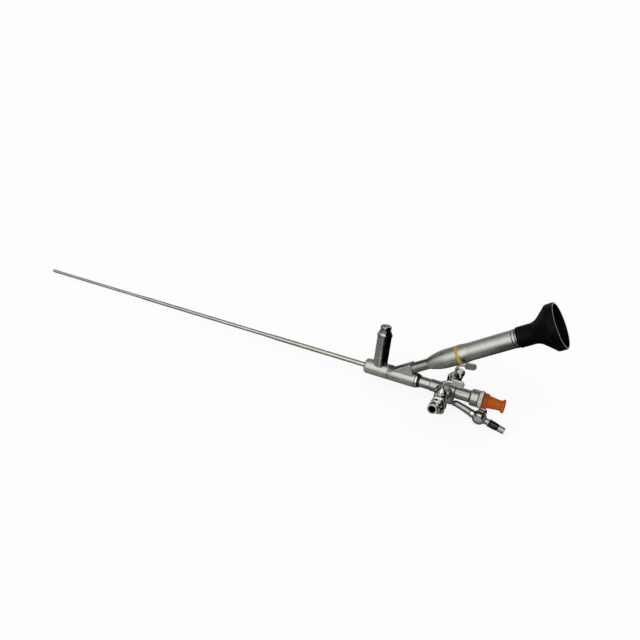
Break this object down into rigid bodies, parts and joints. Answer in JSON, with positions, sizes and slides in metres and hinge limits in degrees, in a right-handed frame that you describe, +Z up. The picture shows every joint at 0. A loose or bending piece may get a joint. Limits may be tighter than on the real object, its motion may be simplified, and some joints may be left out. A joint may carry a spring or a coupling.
{
  "type": "ureterorenoscope",
  "caption": "Rigid endoscope with a long stepped steel sheath, angled eyepiece, light post, two side taps with levers, a lower valve and a soft sealing cap.",
  "frame": {"origin": "on the table under the middle of the instrument's overall box, as it lies at rest", "axes": "+X along the instrument from its tip to the hands, +Z up from the table, +Y to its right side seen from the hands with the eyepiece up"},
  "size_m": [0.4534, 0.0742, 0.0985],
  "materials": {
    "steel_satin": "satin, fine turning lines",
    "chrome_bright": "polished",
    "steel_pale": "pale satin",
    "black_plastic": "matte",
    "black_dot": "matte",
    "yellow_ring": "smooth",
    "orange_silicone": "smooth silicone",
    "seal_rubber": "soft",
    "clear_glass": "polished",
    "glass_fibre": "fibre bundle"
  },
  "bodies": {
    "instrument": {"outer_sheath": "steel_satin", "channel_tube": "steel_satin", "objective_lens": "clear_glass", "image_guide": "glass_fibre", "light_strand_left": "glass_fibre", "light_strand_right": "glass_fibre", "distal_tip": "steel_satin", "front_housing": "steel_satin", "rear_housing": "steel_satin", "collar_ring": "chrome_bright", "black_ring": "black_plastic", "light_post": "chrome_bright", "wide_adapter": "chrome_bright", "narrow_adapter": "chrome_bright", "light_window": "clear_glass", "fibre_ferrule": "steel_satin", "neck_tube": "steel_satin", "eyepiece_cone": "steel_satin", "size_band": "yellow_ring", "index_dot": "black_dot", "eyepiece_barrel": "steel_satin", "end_ring": "steel_satin", "eyecup": "black_plastic", "ocular_window": "clear_glass", "eye_lens": "clear_glass", "field_lens": "clear_glass", "lens_spacer": "steel_satin", "guide_ferrule": "steel_satin", "adapter_body": "steel_satin", "rear_sleeve": "steel_satin", "union_nut": "chrome_bright", "inner_seal": "seal_rubber", "flange_ring": "steel_pale", "sealing_cap": "orange_silicone", "left_arm": "chrome_bright", "left_cap": "chrome_bright", "left_luer": "chrome_bright", "right_arm": "chrome_bright", "right_cap": "chrome_bright", "right_luer": "chrome_bright", "branch_tube": "steel_satin", "valve_body": "chrome_bright", "valve_cap": "steel_satin", "outlet_neck": "chrome_bright", "outlet_barrel": "steel_satin", "outlet_tip": "steel_satin"},
    "left_tap": {"left_plug": "chrome_bright", "left_lever": "steel_satin"},
    "right_tap": {"right_plug": "chrome_bright", "right_lever": "steel_satin"},
    "lower_tap": {"valve_plug": "chrome_bright", "valve_knob": "steel_satin"}
  },
  "joints": [
    {"name": "left_tap_turn", "type": "hinge", "parent": "instrument", "child": "left_tap", "pos_m": [0.15678, -0.01644, 0.02226], "axis": [0.0419, -0.2553, -0.9659], "range_deg": [0, 180]},
    {"name": "right_tap_turn", "type": "hinge", "parent": "instrument", "child": "right_tap", "pos_m": [0.15716, 0.01644, 0.01358], "axis": [-0.0419, 0.2553, 0.9659], "range_deg": [-15, 165]},
    {"name": "lower_tap_turn", "type": "hinge", "parent": "instrument", "child": "lower_tap", "pos_m": [0.18354, -0.00346, 0.00595], "axis": [0.0111, 0.9669, -0.2551], "range_deg": [0, 90]}
  ]
}
